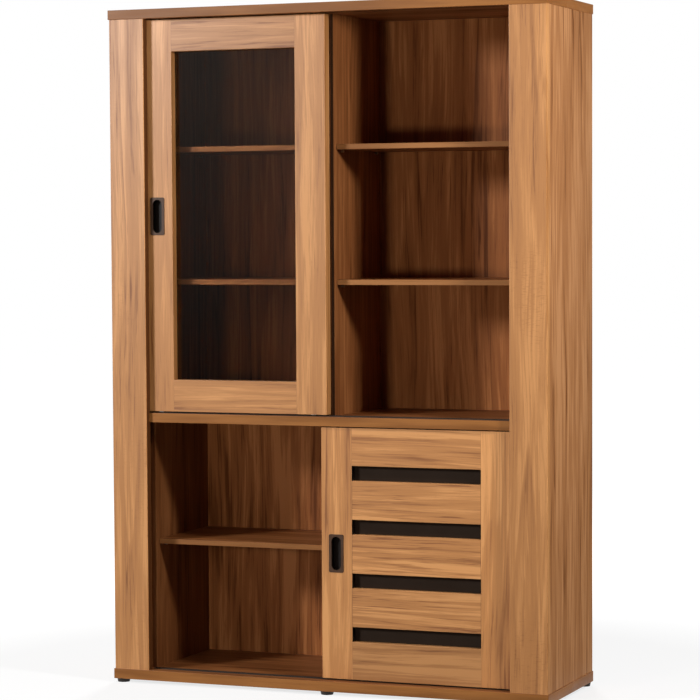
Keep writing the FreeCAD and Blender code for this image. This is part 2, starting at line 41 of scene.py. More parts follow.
# ---------------------------------------------------------------- the studio floor and backdrop
# White paper on the floor that runs on into a white backdrop, and keeps a pale shadow of the
# bookcase. Black cloths behind the camera, on the floor and to the right show only in mirrors and
# in glass, where they stop the white paper from washing out the pane and the foil.
def add_node(tree, kind, inputs=None, **settings):
    """A shader node with its settings, and with values or other nodes' sockets put into its inputs."""
    made = tree.nodes.new("ShaderNode" + kind)
    for name, value in settings.items():
        setattr(made, name, value)
    for name, value in (inputs or {}).items():
        if isinstance(value, bpy.types.NodeSocket):
            tree.links.new(value, made.inputs[name])
        else:
            made.inputs[name].default_value = value
    return made


def seen_rays(tree):
    """1 where a ray comes from the eye, from a mirror or through glass, and 0 for light that bounces."""
    path = add_node(tree, "LightPath")
    seen = add_node(tree, "Math", {0: path.outputs["Is Camera Ray"], 1: path.outputs["Is Glossy Ray"]},
                    operation="MAXIMUM")
    seen = add_node(tree, "Math", {0: seen.outputs[0], 1: path.outputs["Is Transmission Ray"]},
                    operation="MAXIMUM")
    straight = add_node(tree, "Math", {0: path.outputs["Diffuse Depth"], 1: 0.5}, operation="LESS_THAN")
    return add_node(tree, "Math", {0: seen.outputs[0], 1: straight.outputs[0]},
                    operation="MULTIPLY").outputs[0]


def flat_panel(name, width, height):
    """A flat panel about its own middle."""
    corners = [(-width / 2, -height / 2, 0), (width / 2, -height / 2, 0),
               (width / 2, height / 2, 0), (-width / 2, height / 2, 0)]
    mesh = bpy.data.meshes.new(name)
    mesh.from_pydata(corners, [], [(0, 1, 2, 3)])
    made = bpy.data.objects.new(name, mesh)
    bpy.context.scene.collection.objects.link(made)
    return made


world = bpy.data.worlds.new("studio")
world.use_nodes = True
bpy.context.scene.world = world
air = world.node_tree
air.nodes.clear()
backdrop = add_node(air, "Background", {"Color": (1, 1, 1, 1), "Strength": seen_rays(air)})
add_node(air, "OutputWorld", {"Surface": backdrop.outputs[0]})

floor_size = 60.0
shadow_reach = 2.2        # from the middle of the bookcase; the paper is plain white past that
paper_shade = 0.30        # how much of the lamps' light the paper gives back
paper_glow = 0.76         # how bright it looks without them, near the bookcase
floor = flat_panel("floor", floor_size, floor_size)
floor_paper = bpy.data.materials.new("floor paper")
floor_paper.use_nodes = True
tree = floor_paper.node_tree
tree.nodes.clear()
place = add_node(tree, "TexCoord")
far = add_node(tree, "VectorMath", {0: place.outputs["Object"]}, operation="LENGTH")
near = add_node(tree, "MapRange", {"Value": far.outputs["Value"], "From Min": shadow_reach / 2,
                                   "From Max": shadow_reach, "To Min": paper_glow, "To Max": 1.0})
glow = add_node(tree, "Math", {0: near.outputs[0], 1: seen_rays(tree)}, operation="MULTIPLY")
lit = add_node(tree, "BsdfDiffuse", {"Color": (paper_shade, paper_shade, paper_shade, 1)})
white = add_node(tree, "Emission", {"Color": (1, 1, 1, 1), "Strength": glow.outputs[0]})
both = add_node(tree, "AddShader", {0: lit.outputs[0], 1: white.outputs[0]})
add_node(tree, "OutputMaterial", {"Surface": both.outputs[0]})
floor.data.materials.append(floor_paper)


def black_cloth(where, width, height, middle, turn):
    """A cloth of black felt that only mirrors and glass show."""
    made = flat_panel("black_cloth_" + where.replace(" ", "_"), width, height)
    made.location = middle
    made.rotation_euler = [math.radians(part) for part in turn]
    made.visible_camera = made.visible_diffuse = made.visible_shadow = False
    felt = bpy.data.materials.new("black cloth " + where)
    felt.use_nodes = True
    felt.node_tree.nodes["Principled BSDF"].inputs["Base Color"].default_value = (0.01, 0.01, 0.01, 1)
    made.data.materials.append(felt)
    return felt.node_tree


tree = black_cloth("behind", 30.0, 9.0, (0, -9.5, 4.5), (-90, 0, 0))
black_cloth("below", 30.0, 9.2, (0, -4.9, 0.002), (0, 0, 0))
black_cloth("beside", 23.0, 6.0, (3.0, 8.5, 3.0), (90, 0, -90))
black_cloth("under the side", 2.35, 20.3, (1.83, 9.85, 0.002), (0, 0, 0))

# the cloth behind the camera has a dim warm glow that fades towards its foot, and the pane mirrors it
upper_glow = (0.20, 0.18, 0.16, 1)
lower_glow = (0.035, 0.0315, 0.028, 1)
glow_fades_from = 2.2     # below the middle of the cloth
glow_fades_to = 4.2
surface = tree.nodes["Principled BSDF"]
below = add_node(tree, "SeparateXYZ", {0: add_node(tree, "TexCoord").outputs["Object"]}).outputs[1]
faded = add_node(tree, "MapRange", {"Value": below, "From Min": glow_fades_from,
                                    "From Max": glow_fades_to}).outputs[0]
sheen = add_node(tree, "Mix", {0: faded, 6: upper_glow, 7: lower_glow}, data_type="RGBA").outputs[2]
tree.links.new(sheen, surface.inputs["Emission Color"])
surface.inputs["Emission Strength"].default_value = 1.0


# ---------------------------------------------------------------- the studio lamps
# A softbox high on the left lights the fronts, a small lamp low in front reaches into the bays, two
# on the right light the side and one lights the back. Mirrors and glass show the first lamp only.
middle_of_case = Vector((0, 0, 0.9))


def softbox(name, place, size, power, gloss=True):
    """A square lamp that faces the middle of the bookcase, and shows in gloss and glass or doesn't."""
    data = bpy.data.lights.new(name, "AREA")
    data.size = size
    data.energy = power
    made = bpy.data.objects.new(name, data)
    made.location = place
    made.rotation_euler = (middle_of_case - Vector(place)).to_track_quat("-Z", "Y").to_euler()
    made.visible_camera = False
    made.visible_glossy = made.visible_transmission = gloss
    bpy.context.scene.collection.objects.link(made)


softbox("high left lamp", (-4.07, -4.85, 2.9), 1.05, 315)
softbox("low front lamp", (-0.29, -3.9, 0.87), 0.3, 27, gloss=False)
softbox("right lamp", (2.05, -0.86, 1.85), 0.25, 34, gloss=False)
softbox("back right lamp", (3.8, 0.35, 0.2), 0.6, 44, gloss=False)
softbox("back lamp", (-1.2, 4.2, 2.6), 0.9, 110, gloss=False)


# ---------------------------------------------------------------- the two front pilasters
# Boards of chipboard that stand in front of the side panels. They are wrapped in a satin foil,
# printed with a flowing grain that runs up them, and their front corners are rounded.
def new_group(name, inputs, outputs):
    """An empty node group with named sockets, and the sockets inside it."""
    group = bpy.data.node_groups.new(name, "ShaderNodeTree")
    for label, kind, value in inputs:
        socket = group.interface.new_socket(label, in_out="INPUT", socket_type="NodeSocket" + kind)
        if value is not None:
            socket.default_value = value
    for label, kind in outputs:
        group.interface.new_socket(label, in_out="OUTPUT", socket_type="NodeSocket" + kind)
    return group, group.nodes.new("NodeGroupInput").outputs, group.nodes.new("NodeGroupOutput").inputs


def steps(tree, *parts):
    """A chain of (operation, first, second) sums, where None stands for the step before."""
    before = None
    for operation, first, second in parts:
        values = [before if value is None else value for value in (first, second)]
        before = add_node(tree, "Math", {0: values[0], 1: values[1]}, operation=operation).outputs[0]
    return before


def noise(tree, vector, scale, detail=2.0, roughness=0.5):
    """Smooth noise with so many features to the metre in each direction, from 0 to 1."""
    pulled = add_node(tree, "Mapping", {"Vector": vector, "Scale": scale})
    return add_node(tree, "TexNoise", {"Vector": pulled.outputs[0], "Scale": 1.0, "Detail": detail,
                                       "Roughness": roughness}).outputs[0]


def ranged(tree, value, low, high, to_low=0.0, to_high=1.0):
    """A value taken smoothly from one range to another, and held at its ends."""
    return add_node(tree, "MapRange", {0: value, 1: low, 2: high, 3: to_low, 4: to_high},
                    interpolation_type="SMOOTHSTEP").outputs[0]


def blended(tree, share, first, second):
    """One colour mixed into another."""
    return add_node(tree, "Mix", {0: share, 6: first, 7: second}, data_type="RGBA").outputs[2]


# In the figure, X runs across the face, Y into the board and Z along the grain, in metres. Each noise
# has so many features to the metre in X, Y and Z, and nearly all are drawn out along the grain.
figure, given, gives = new_group(
    "printed grain",
    [("Place", "Vector", None), ("Bands", "Float", 1.0), ("Streaks", "Float", 1.0),
     ("Rings", "Float", 0.3), ("Ring Width", "Float", 0.012), ("Flecks", "Float", 0.5),
     ("Ripple", "Float", 0.0), ("Light", "Color", (1, 1, 1, 1)), ("Middle", "Color", (0.5, 0.5, 0.5, 1)),
     ("Dark", "Color", (0, 0, 0, 1))],
    [("Color", "Color"), ("Height", "Float"), ("Gloss", "Float")])
place = given["Place"]
split = add_node(figure, "SeparateXYZ", {0: place})
# the whole figure bends to and fro on its way up, and its lines waver
bend_width = 0.07
waver_width = 0.010
bend = noise(figure, place, (5, 5, 1.0), detail=1.0)
waver = noise(figure, place, (30, 30, 3.5), detail=2.0)
across = steps(figure, ("SUBTRACT", bend, 0.5), ("MULTIPLY", None, bend_width),
               ("ADD", None, split.outputs[0]))
across = steps(figure, ("SUBTRACT", waver, 0.5), ("MULTIPLY", None, waver_width), ("ADD", None, across))
moved = add_node(figure, "CombineXYZ", {0: across, 1: split.outputs[1], 2: split.outputs[2]}).outputs[0]
# growth lines are the contours of a long slow swell: sharp on one side, and closed in flames
swell_height = 0.12
swell = noise(figure, moved, (9, 9, 0.45), detail=1.0)
ring = steps(figure, ("MULTIPLY", swell, swell_height), ("DIVIDE", None, given["Ring Width"]),
             ("FRACT", None, 0.0))
late = steps(figure, ("SUBTRACT", ranged(figure, ring, 0.35, 0.88), ranged(figure, ring, 0.89, 1.0)),
             ("SUBTRACT", None, 0.35))
fade = ranged(figure, noise(figure, place, (20, 20, 1.4), detail=1.5), 0.30, 0.60, 0.15, 1.0)
late = steps(figure, ("MULTIPLY", late, fade), ("MULTIPLY", None, given["Rings"]))
# broad light and dark bands, and finer streaks between them with thin dark hairs
band_strength = 2.3
streak_strength = 0.37
hair_strength = 1.05
bands = noise(figure, moved, (15, 15, 1.0), detail=2.5, roughness=0.72)
bands = steps(figure, ("SUBTRACT", bands, 0.5), ("MULTIPLY", None, band_strength),
              ("MULTIPLY", None, given["Bands"]))
streaks = ranged(figure, noise(figure, moved, (105, 105, 4.0), detail=2.5, roughness=0.75), 0.34, 0.66)
hairs = noise(figure, moved, (60, 60, 1.5), detail=1.5)
hairs = steps(figure, ("SUBTRACT", hairs, 0.5), ("ABSOLUTE", None, 0.0))
hairs = steps(figure, ("MULTIPLY", ranged(figure, hairs, 0.0, 0.07, 1.0, 0.0), fade),
              ("MULTIPLY", None, hair_strength))
streaks = steps(figure, ("SUBTRACT", streaks, 0.62), ("ADD", None, hairs),
                ("MULTIPLY", None, given["Streaks"]), ("MULTIPLY", None, streak_strength))
# fibres all over, short dark flecks and dashes in patches, and open pores
fibres = noise(figure, moved, (700, 700, 9), detail=1.5)
flecks = ranged(figure, noise(figure, moved, (380, 380, 8), detail=2.0, roughness=0.6), 0.56, 0.72)
dashes = ranged(figure, noise(figure, moved, (150, 150, 6.5), detail=2.0, roughness=0.55), 0.57, 0.70)
patch = ranged(figure, noise(figure, place, (22, 22, 2.0), detail=1.0), 0.42, 0.60)
flecks = steps(figure, ("MULTIPLY", dashes, 0.9), ("ADD", None, flecks), ("MULTIPLY", None, patch),
               ("MULTIPLY", None, given["Flecks"]))
pores = ranged(figure, noise(figure, place, (900, 900, 45), detail=1.0), 0.60, 0.74)
# a faint ripple across the grain, in some places
ripple = ranged(figure, noise(figure, place, (70, 70, 330), detail=1.0), 0.52, 0.70)
calm = ranged(figure, noise(figure, place, (9, 9, 2.6), detail=1.0), 0.50, 0.66)
ripple = steps(figure, ("MULTIPLY", ripple, calm), ("MULTIPLY", None, given["Ripple"]))
# all of it added up, from light to dark, gives the colour, and what is dark lies lower and duller
pore_strength = 0.35
fibre_strength = 0.5
shade = steps(figure, ("ADD", bands, streaks), ("ADD", None, late), ("ADD", None, flecks),
              ("ADD", None, ripple))
shade = steps(figure, ("MULTIPLY", pores, pore_strength), ("ADD", None, fibres), ("SUBTRACT", None, 0.55),
              ("MULTIPLY", None, fibre_strength), ("ADD", None, shade), ("ADD", None, 0.40))
colour = blended(figure, ranged(figure, shade, 0.0, 0.5), given["Light"], given["Middle"])
colour = blended(figure, ranged(figure, shade, 0.50, 1.25), colour, given["Dark"])
figure.links.new(colour, gives["Color"])
figure.links.new(steps(figure, ("MULTIPLY", shade, -0.5), ("SUBTRACT", None, flecks)), gives["Height"])
figure.links.new(steps(figure, ("MULTIPLY", shade, 0.10), ("ADD", None, 0.37)), gives["Gloss"])

# where corners and edges are rubbed, and where the foil gets a painted highlight along its rounded
# edges: 0 on the faces and up to 1 along the edges, in patches
wear_and_highlight, given, gives = new_group("edge wear", [("Reach", "Float", 0.0015), ("Amount", "Float", 0.5)],
                               [("Mask", "Float")])
turned = add_node(wear_and_highlight, "Bevel", {"Radius": given["Reach"]}, samples=4)
facing = add_node(wear_and_highlight, "NewGeometry").outputs["Normal"]
# 1 where the surface is flat, and less the nearer a corner is
even = add_node(wear_and_highlight, "VectorMath", {0: turned.outputs[0], 1: facing},
                operation="DOT_PRODUCT").outputs["Value"]
spot = add_node(wear_and_highlight, "TexCoord").outputs["Object"]
broken = ranged(wear_and_highlight, noise(wear_and_highlight, spot, (45, 45, 45), detail=3.0, roughness=0.6), 0.35, 0.62, 0.3, 1.0)
rubbed = steps(wear_and_highlight, ("MULTIPLY", ranged(wear_and_highlight, even, 0.995, 0.86), broken),
               ("MULTIPLY", None, given["Amount"]))
wear_and_highlight.links.new(rubbed, gives["Mask"])

GRAIN_UP = (0, 0, 0)                                     # seen from the front
GRAIN_UP_SIDE = (0, 0, math.radians(90))                 # seen from the side
GRAIN_LEVEL = (0, math.radians(-90), 0)                  # from left to right, seen from the front
GRAIN_FLAT = (math.radians(90), math.radians(-90), 0)    # from left to right, seen from above
OAK = ((0.64, 0.298, 0.105), (0.460, 0.196, 0.060), (0.235, 0.080, 0.019))     # light, middle and dark


def foil(name, grain, pieces, heart=0.04, along=0.0, colours=OAK, tone=1.0, bands=1.0, streaks=0.85,
         rings=0.32, ring_width=0.014, flecks=0.35, ripple=0.0, specular=0.6):
    """The printed foil: a heart so far from the pieces' middle, and a place along the log."""
    made = bpy.data.materials.new(name)
    made.use_nodes = True
    tree = made.node_tree
    surface = tree.nodes["Principled BSDF"]
    low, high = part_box(pieces[0])
    middle = Euler(grain).to_matrix() @ ((Vector(low) + Vector(high)) / 2)
    spot = add_node(tree, "TexCoord")
    laid = add_node(tree, "Mapping", {"Vector": spot.outputs["Object"], "Rotation": grain,
                                      "Location": (heart - middle.x, -middle.y, along)})
    grown = add_node(tree, "Group", node_tree=figure)
    grown.name = "grain"
    tree.links.new(laid.outputs[0], grown.inputs["Place"])
    for label, value in (("Bands", bands), ("Streaks", streaks), ("Rings", rings),
                         ("Ring Width", ring_width), ("Flecks", flecks), ("Ripple", ripple)):
        grown.inputs[label].default_value = value
    for label, value in zip(("Light", "Middle", "Dark"), colours):
        grown.inputs[label].default_value = (*(tone * part for part in value), 1)
    # edges are painted paler: partly rubbed foil, partly a painted highlight along the rounded edges
    rubbed = add_node(tree, "Group", node_tree=wear_and_highlight)
    rubbed.inputs["Amount"].default_value = 0.35
    worn_and_highlit_edge = tuple(min(1.0, 1.25 * tone * part) for part in colours[0])
    colour = add_node(tree, "Mix", {0: rubbed.outputs[0], 6: grown.outputs["Color"], 7: (*worn_and_highlit_edge, 1)},
                      data_type="RGBA")
    colour.name = "colour"
    bump = add_node(tree, "Bump", {"Height": grown.outputs["Height"], "Strength": 0.25, "Distance": 0.0003})
    tree.links.new(colour.outputs[2], surface.inputs["Base Color"])
    tree.links.new(grown.outputs["Gloss"], surface.inputs["Roughness"])
    tree.links.new(bump.outputs[0], surface.inputs["Normal"])
    surface.inputs["Specular IOR Level"].default_value = specular
    return made


def dress(material, slot, *names):
    """Puts a finish on nodes of the model; the slot argument is not used."""
    for name in names:
        for held in nodes[name].material_slots:
            held.material = material


def edged(material, way, colour):
    """Lays a plain colour over the upright edges that look to one side, to the right or to the left."""
    tree = material.node_tree
    facing = add_node(tree, "SeparateXYZ", {0: add_node(tree, "TexCoord").outputs["Normal"]}).outputs[0]
    turned = steps(tree, ("MULTIPLY", facing, {"right": 1, "left": -1}[way]))
    over = blended(tree, ranged(tree, turned, 0.8, 0.95), tree.nodes["grain"].outputs["Color"],
                   (*colour, 1))
    tree.links.new(over, tree.nodes["colour"].inputs[6])
    return material


# the inner side faces of the pilasters, beside the doors, get a painted shade in dark brown
PILASTER_SHADE_BROWN = (0.120, 0.040, 0.011)
pilaster = foil("left pilaster foil", GRAIN_UP, ["left_front_pilaster"], heart=0.035, along=0.3,
                streaks=0.65, rings=0.45, ring_width=0.010, flecks=0.5, ripple=0.10)
dress(edged(pilaster, "right", PILASTER_SHADE_BROWN), "oak_laminate", "left_front_pilaster")
pilaster = foil("right pilaster foil", GRAIN_UP, ["right_front_pilaster"], heart=-0.045, along=5.95,
                tone=0.95, bands=0.6, streaks=0.7, rings=0.45, ring_width=0.018, flecks=0.4,
                ripple=0.16)
dress(edged(pilaster, "left", PILASTER_SHADE_BROWN), "oak_laminate", "right_front_pilaster")

# ---------------------------------------------------------------- the two outer side panels
# Chipboard 18 mm thick, foiled on both faces and dowelled to the top, middle and base boards. The
# grain runs up them in nearly straight lines.
SIDE_OAK = ((0.485, 0.228, 0.092), (0.362, 0.153, 0.054), (0.165, 0.056, 0.015))
for side, along, heart in (("left", 11.0, 0.30), ("right", 5.8, -0.30)):
    name = side + "_outer_side_panel"
    dress(foil(side + " side foil", GRAIN_UP_SIDE, [name], heart=heart, along=along, colours=SIDE_OAK,
               streaks=1.2, rings=0.40, ring_width=0.012, flecks=0.2, specular=0.12), "oak_laminate", name)

# ---------------------------------------------------------------- the inner uprights and the jambs
# Inner side panels, partitions and door jambs are chipboard in a foil painted darker and redder than the
# fronts as shade of the bays, the left inner side panel darker still. They stand on dowels between the
# boards.
# a darker, redder copy of the front foil: painted shade of the bays
SHADED_INSIDE_OAK = ((0.37, 0.143, 0.047), (0.245, 0.084, 0.025), (0.100, 0.029, 0.0075))
for name, heart, along, tone in (
        ("left_inner_side_panel", -0.15, 0.0, 0.72),
        ("right_inner_side_panel", -0.05, 3.3, 1.0),
        ("upper_partition", 0.05, 6.6, 0.97),
        ("lower_partition", 0.15, 9.9, 0.97)):
    upright = foil(name.replace("_", " ") + " foil", GRAIN_UP_SIDE, [name], heart=heart, along=along,
                   colours=SHADED_INSIDE_OAK, tone=tone, bands=0.65, streaks=0.9, specular=0.2)
    dress(upright, "oak_laminate", name)
dress(foil("jamb foil", GRAIN_UP, ["left_door_jamb"], heart=0.05, along=1.7, colours=SHADED_INSIDE_OAK),
      "oak_laminate", "left_door_jamb", "right_door_jamb")

# ---------------------------------------------------------------- the top, middle and base boards
# Their long edges are closed with a plain brown band, ironed on, and the faces have the same
# foil as the uprights inside, darkened with the same painted shade.
band, given, gives = new_group("edge band", [("Color", "Color", (0.27, 0.082, 0.014, 1))],
                               [("Color", "Color"), ("Mask", "Float")])
spot = add_node(band, "TexCoord")
facing = add_node(band, "SeparateXYZ", {0: spot.outputs["Normal"]})
upward = add_node(band, "Math", {0: facing.outputs[2]}, operation="ABSOLUTE").outputs[0]
band.links.new(ranged(band, upward, 0.80, 0.45), gives["Mask"])
clouds = noise(band, spot.outputs["Object"], (3, 3, 40), detail=2.0, roughness=0.5)
lines = noise(band, spot.outputs["Object"], (6, 6, 380), detail=2.0)
darker = add_node(band, "Mix", {0: 1.0, 6: given["Color"], 7: (0.80, 0.76, 0.72, 1)}, data_type="RGBA",
                  blend_type="MULTIPLY").outputs[2]
paler = add_node(band, "Mix", {0: 1.0, 6: given["Color"], 7: (1.2, 1.22, 1.25, 1)}, data_type="RGBA",
                 blend_type="MULTIPLY").outputs[2]
toned = blended(band, ranged(band, clouds, 0.35, 0.68), paler, darker)
toned = blended(band, ranged(band, lines, 0.50, 0.72, 0.0, 0.5), toned, darker)
band.links.new(toned, gives["Color"])
BAND_BROWN = (0.288, 0.110, 0.026)


def band_edges(material, colour):
    """Lays the edge band over the foil on every face of a level board that looks sideways."""
    tree = material.node_tree
    edges = add_node(tree, "Group", node_tree=band)
    edges.inputs["Color"].default_value = (*colour, 1)
    over = add_node(tree, "Mix", {0: edges.outputs["Mask"], 6: tree.nodes["grain"].outputs["Color"],
                                  7: edges.outputs["Color"]}, data_type="RGBA")
    tree.links.new(over.outputs[2], tree.nodes["colour"].inputs[6])
    return material


for number, name in enumerate(["top_board", "middle_board", "base_board"]):
    board = foil(name.replace("_", " ") + " foil", GRAIN_FLAT, [name], heart=0.06, along=2.9 * number,
                 colours=SHADED_INSIDE_OAK, bands=1.0, streaks=1.0, specular=0.25)
    dress(band_edges(board, BAND_BROWN), "board_laminate", name)

# ---------------------------------------------------------------- the back panels
# Thin fibreboard with a printed face that is turned to the room, screwed to the boards and the
# partitions; the print is coloured dark as painted shade of the bays. The rear face is left plain and
# brown.
REAR_BROWN = (0.175, 0.097, 0.050, 1)
REAR_DARK = (0.075, 0.038, 0.018, 1)
# the printed face takes the painted-shade colours of the bays
for name, along, tone, bands, streaks in (
        ("upper_back_panel", 4.05, 1.38, 0.8, 0.75),
        ("lower_back_panel", 11.85, 1.36, 1.6, 1.05)):
    sheet = foil(name.replace("_", " ") + " print", GRAIN_UP, [name], heart=0.25, along=along,
                 colours=SHADED_INSIDE_OAK, tone=tone, bands=bands, streaks=streaks, rings=0.40, ring_width=0.018,
                 specular=0.15)
    tree = sheet.node_tree
    spot = add_node(tree, "TexCoord")
    rearward = add_node(tree, "SeparateXYZ", {0: spot.outputs["Normal"]}).outputs[1]
    chips = ranged(tree, noise(tree, spot.outputs["Object"], (420, 420, 420)), 0.35, 0.7, 0.0, 0.45)
    clouds = noise(tree, spot.outputs["Object"], (7, 7, 7), detail=5.0, roughness=0.65)
    mottle = steps(tree, ("ADD", chips, ranged(tree, clouds, 0.32, 0.7, 0.0, 0.3)))
    plain = blended(tree, mottle, REAR_BROWN, REAR_DARK)
    both = blended(tree, ranged(tree, rearward, 0.2, 0.6), tree.nodes["grain"].outputs["Color"], plain)
    tree.links.new(both, tree.nodes["colour"].inputs[6])
    dress(sheet, "back_laminate", name)

# ---------------------------------------------------------------- the shelves
# Six loose shelves 14 mm thick, foiled on both faces and with a brown band along the front. Each
# lies on four pins.
SHELF_BAND_BROWN = (0.30, 0.125, 0.041)
shelf_names = [name for name in sorted(nodes) if name.endswith("shelf")]
shelf_foil = foil("shelf foil", GRAIN_FLAT, [shelf_names[0]], heart=0.2, along=4.4, colours=SHADED_INSIDE_OAK,
                  bands=1.0, streaks=1.0, specular=0.15)
dress(band_edges(shelf_foil, SHELF_BAND_BROWN), "shelf_laminate", *shelf_names)

# ---------------------------------------------------------------- the stiles and rails of the doors
# Uprights and crosspieces of chipboard in the front foil. The stiles run the full height of each
# door, and the rails are dowelled between them with a fine joint line at each end.
joint, given, gives = new_group(
    "joint line", [("Low", "Float", 0.0), ("High", "Float", 1.0), ("Width", "Float", 0.001)],
    [("Mask", "Float")])
spot = add_node(joint, "TexCoord")
split = add_node(joint, "SeparateXYZ", {0: spot.outputs["Object"]})
low_gap = steps(joint, ("SUBTRACT", split.outputs[0], given["Low"]), ("ABSOLUTE", None, 0.0))
high_gap = steps(joint, ("SUBTRACT", split.outputs[0], given["High"]), ("ABSOLUTE", None, 0.0))
gap = steps(joint, ("MINIMUM", low_gap, high_gap), ("DIVIDE", None, given["Width"]))
joint.links.new(ranged(joint, gap, 0.4, 1.0, 0.8, 0.0), gives["Mask"])


def join_lines(material, piece, width):
    """Darkens a hair's breadth at both ends of a crosspiece, where it meets the stiles."""
    tree = material.node_tree
    low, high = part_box(piece)
    line = add_node(tree, "Group", node_tree=joint)
    line.inputs["Low"].default_value = low[0]
    line.inputs["High"].default_value = high[0]
    line.inputs["Width"].default_value = width
    over = add_node(tree, "Mix", {0: line.outputs["Mask"], 6: tree.nodes["grain"].outputs["Color"],
                                  7: (0.10, 0.032, 0.008, 1)}, data_type="RGBA")
    tree.links.new(over.outputs[2], tree.nodes["colour"].inputs[6])
    return material


SLOT_BLACK = (0.012, 0.008, 0.006)       # the stiles' upright edges beside the slots are coloured near black
for name, slot_side, heart, along, tone, bands, streaks in (
        ("upper_door_left_stile", None, 0.05, 1.9, 1.05, 1.0, 0.7),
        ("upper_door_right_stile", None, -0.06, 8.9, 1.0, 1.1, 0.7),
        ("lower_door_left_stile", "right", 0.045, 15.45, 1.12, 1.1, 0.85),
        ("lower_door_right_stile", "left", -0.05, 15.7, 1.18, 1.3, 0.85)):
    stile = foil(name.replace("_", " ") + " foil", GRAIN_UP, [name], heart=heart, along=along,
                 tone=tone, bands=bands, streaks=streaks, flecks=0.3)
    if slot_side:
        edged(stile, slot_side, SLOT_BLACK)
    dress(stile, "oak_laminate", name)
for name, along, tone, streaks in (
        ("upper_door_top_rail", 12.3, 0.94, 0.6),
        ("upper_door_bottom_rail", 10.05, 1.01, 0.75),
        ("lower_door_top_rail", 16.8, 1.09, 0.85),
        ("lower_door_bottom_rail", 14.1, 0.81, 0.85)):
    rail = foil(name.replace("_", " ") + " foil", GRAIN_LEVEL, [name], heart=0.05, along=along, tone=tone,
                streaks=streaks)
    dress(join_lines(rail, name, width=0.0008), "oak_laminate", name)

# ---------------------------------------------------------------- the slats of the lower door
# Three boards in the same foil, set between the stiles with open slots above and below them. The
# grain runs along each and shows short dark flecks.
for name, along, tone in (
        ("lower_door_slat_1", 9.4, 1.08),
        ("lower_door_slat_2", 8.9, 1.10),
        ("lower_door_slat_3", 11.1, 1.02)):
    slat = foil(name.replace("_", " ") + " foil", GRAIN_LEVEL, [name], heart=0.06, along=along,
                tone=tone, bands=1.1, streaks=0.9, rings=0.30, ring_width=0.011, flecks=0.7)
    dress(join_lines(slat, name, width=0.0016), "oak_laminate", name)

# ---------------------------------------------------------------- the dark panel behind the slats
# One thin board with a matt black face, held in rebates behind the slats. It closes the slots and
# keeps the dust out.
skin, given, gives = new_group(
    "matt skin",
    [("Color", "Color", (0.02, 0.02, 0.02, 1)), ("Rubbed", "Color", (0.06, 0.06, 0.06, 1)),
     ("Grain", "Float", 900.0), ("Gloss", "Float", 0.5)],
    [("Color", "Color"), ("Height", "Float"), ("Gloss", "Float")])
spot = add_node(skin, "TexCoord").outputs["Object"]
scaled = add_node(skin, "VectorMath", {0: spot, 3: given["Grain"]}, operation="SCALE").outputs[0]
pebble = add_node(skin, "TexNoise", {"Vector": scaled, "Scale": 1.0, "Detail": 2.0}).outputs[0]
smears = noise(skin, spot, (14, 14, 22), detail=4.0, roughness=0.62)
specks = ranged(skin, noise(skin, spot, (260, 260, 260), detail=1.0), 0.66, 0.78, 0.0, 0.35)
toned = add_node(skin, "Mix", {0: ranged(skin, smears, 0.3, 0.7, 0.0, 0.25), 6: given["Color"],
                               7: given["Rubbed"]}, data_type="RGBA").outputs[2]
toned = blended(skin, specks, toned, given["Rubbed"])
skin.links.new(toned, gives["Color"])
skin.links.new(pebble, gives["Height"])
dull = steps(skin, ("SUBTRACT", smears, 0.5), ("MULTIPLY", None, 0.35), ("ADD", None, given["Gloss"]))
skin.links.new(dull, gives["Gloss"])


def moulded(name, colour, rubbed, grain=900.0, gloss=0.5, specular=0.5, worn=0.5, relief=0.0001):
    """A moulded or painted skin with a fine pebble, faint smears, and edges rubbed to another colour."""
    made = bpy.data.materials.new(name)
    made.use_nodes = True
    tree = made.node_tree
    surface = tree.nodes["Principled BSDF"]
    face = add_node(tree, "Group", node_tree=skin)
    face.inputs["Color"].default_value = (*colour, 1)
    face.inputs["Rubbed"].default_value = (*rubbed, 1)
    face.inputs["Grain"].default_value = grain
    face.inputs["Gloss"].default_value = gloss
    edges = add_node(tree, "Group", node_tree=wear_and_highlight)
    edges.inputs["Reach"].default_value = 0.0008
    edges.inputs["Amount"].default_value = worn
    toned = blended(tree, edges.outputs[0], face.outputs["Color"], (*rubbed, 1))
    bump = add_node(tree, "Bump", {"Height": face.outputs["Height"], "Strength": 0.3, "Distance": relief})
    tree.links.new(toned, surface.inputs["Base Color"])
    tree.links.new(face.outputs["Gloss"], surface.inputs["Roughness"])
    tree.links.new(bump.outputs[0], surface.inputs["Normal"])
    surface.inputs["Specular IOR Level"].default_value = specular
    return made


black_panel = moulded("black panel face", (0.024, 0.0150, 0.0100), (0.036, 0.024, 0.017), grain=1400.0,
                      gloss=0.55, specular=0.05)
dress(black_panel, "black_panel", "lower_door_backing_panel")

# ---------------------------------------------------------------- the flush handles
# One finger pull in each door, moulded in dark brown-black plastic and pressed into a slot in the
# left stile. Fingers have polished its rim, and the hollow behind the rim has a painted shade.
pull_plastic = moulded("handle plastic", (0.066, 0.030, 0.015), (0.105, 0.060, 0.036), gloss=0.42,
                       specular=0.3, worn=0.6)
tree = pull_plastic.node_tree
handle_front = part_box("upper_door_handle")[0][1]
# the hollow behind the rim is painted near black as shade, deepening towards dark_depth
rim_depth = 0.0015        # the recess begins behind the rim,
dark_depth = 0.004        # and is quite dark from here on
RECESS_SHADE_BLACK = (0.009, 0.005, 0.0035, 1)
spot = add_node(tree, "SeparateXYZ", {0: add_node(tree, "TexCoord").outputs["Object"]})
painted_recess_shade = ranged(tree, spot.outputs[1], handle_front + rim_depth, handle_front + dark_depth)
surface = tree.nodes["Principled BSDF"]
toned = blended(tree, painted_recess_shade, surface.inputs["Base Color"].links[0].from_socket, RECESS_SHADE_BLACK)
tree.links.new(toned, surface.inputs["Base Color"])
dress(pull_plastic, "black_plastic", "upper_door_handle", "lower_door_handle")

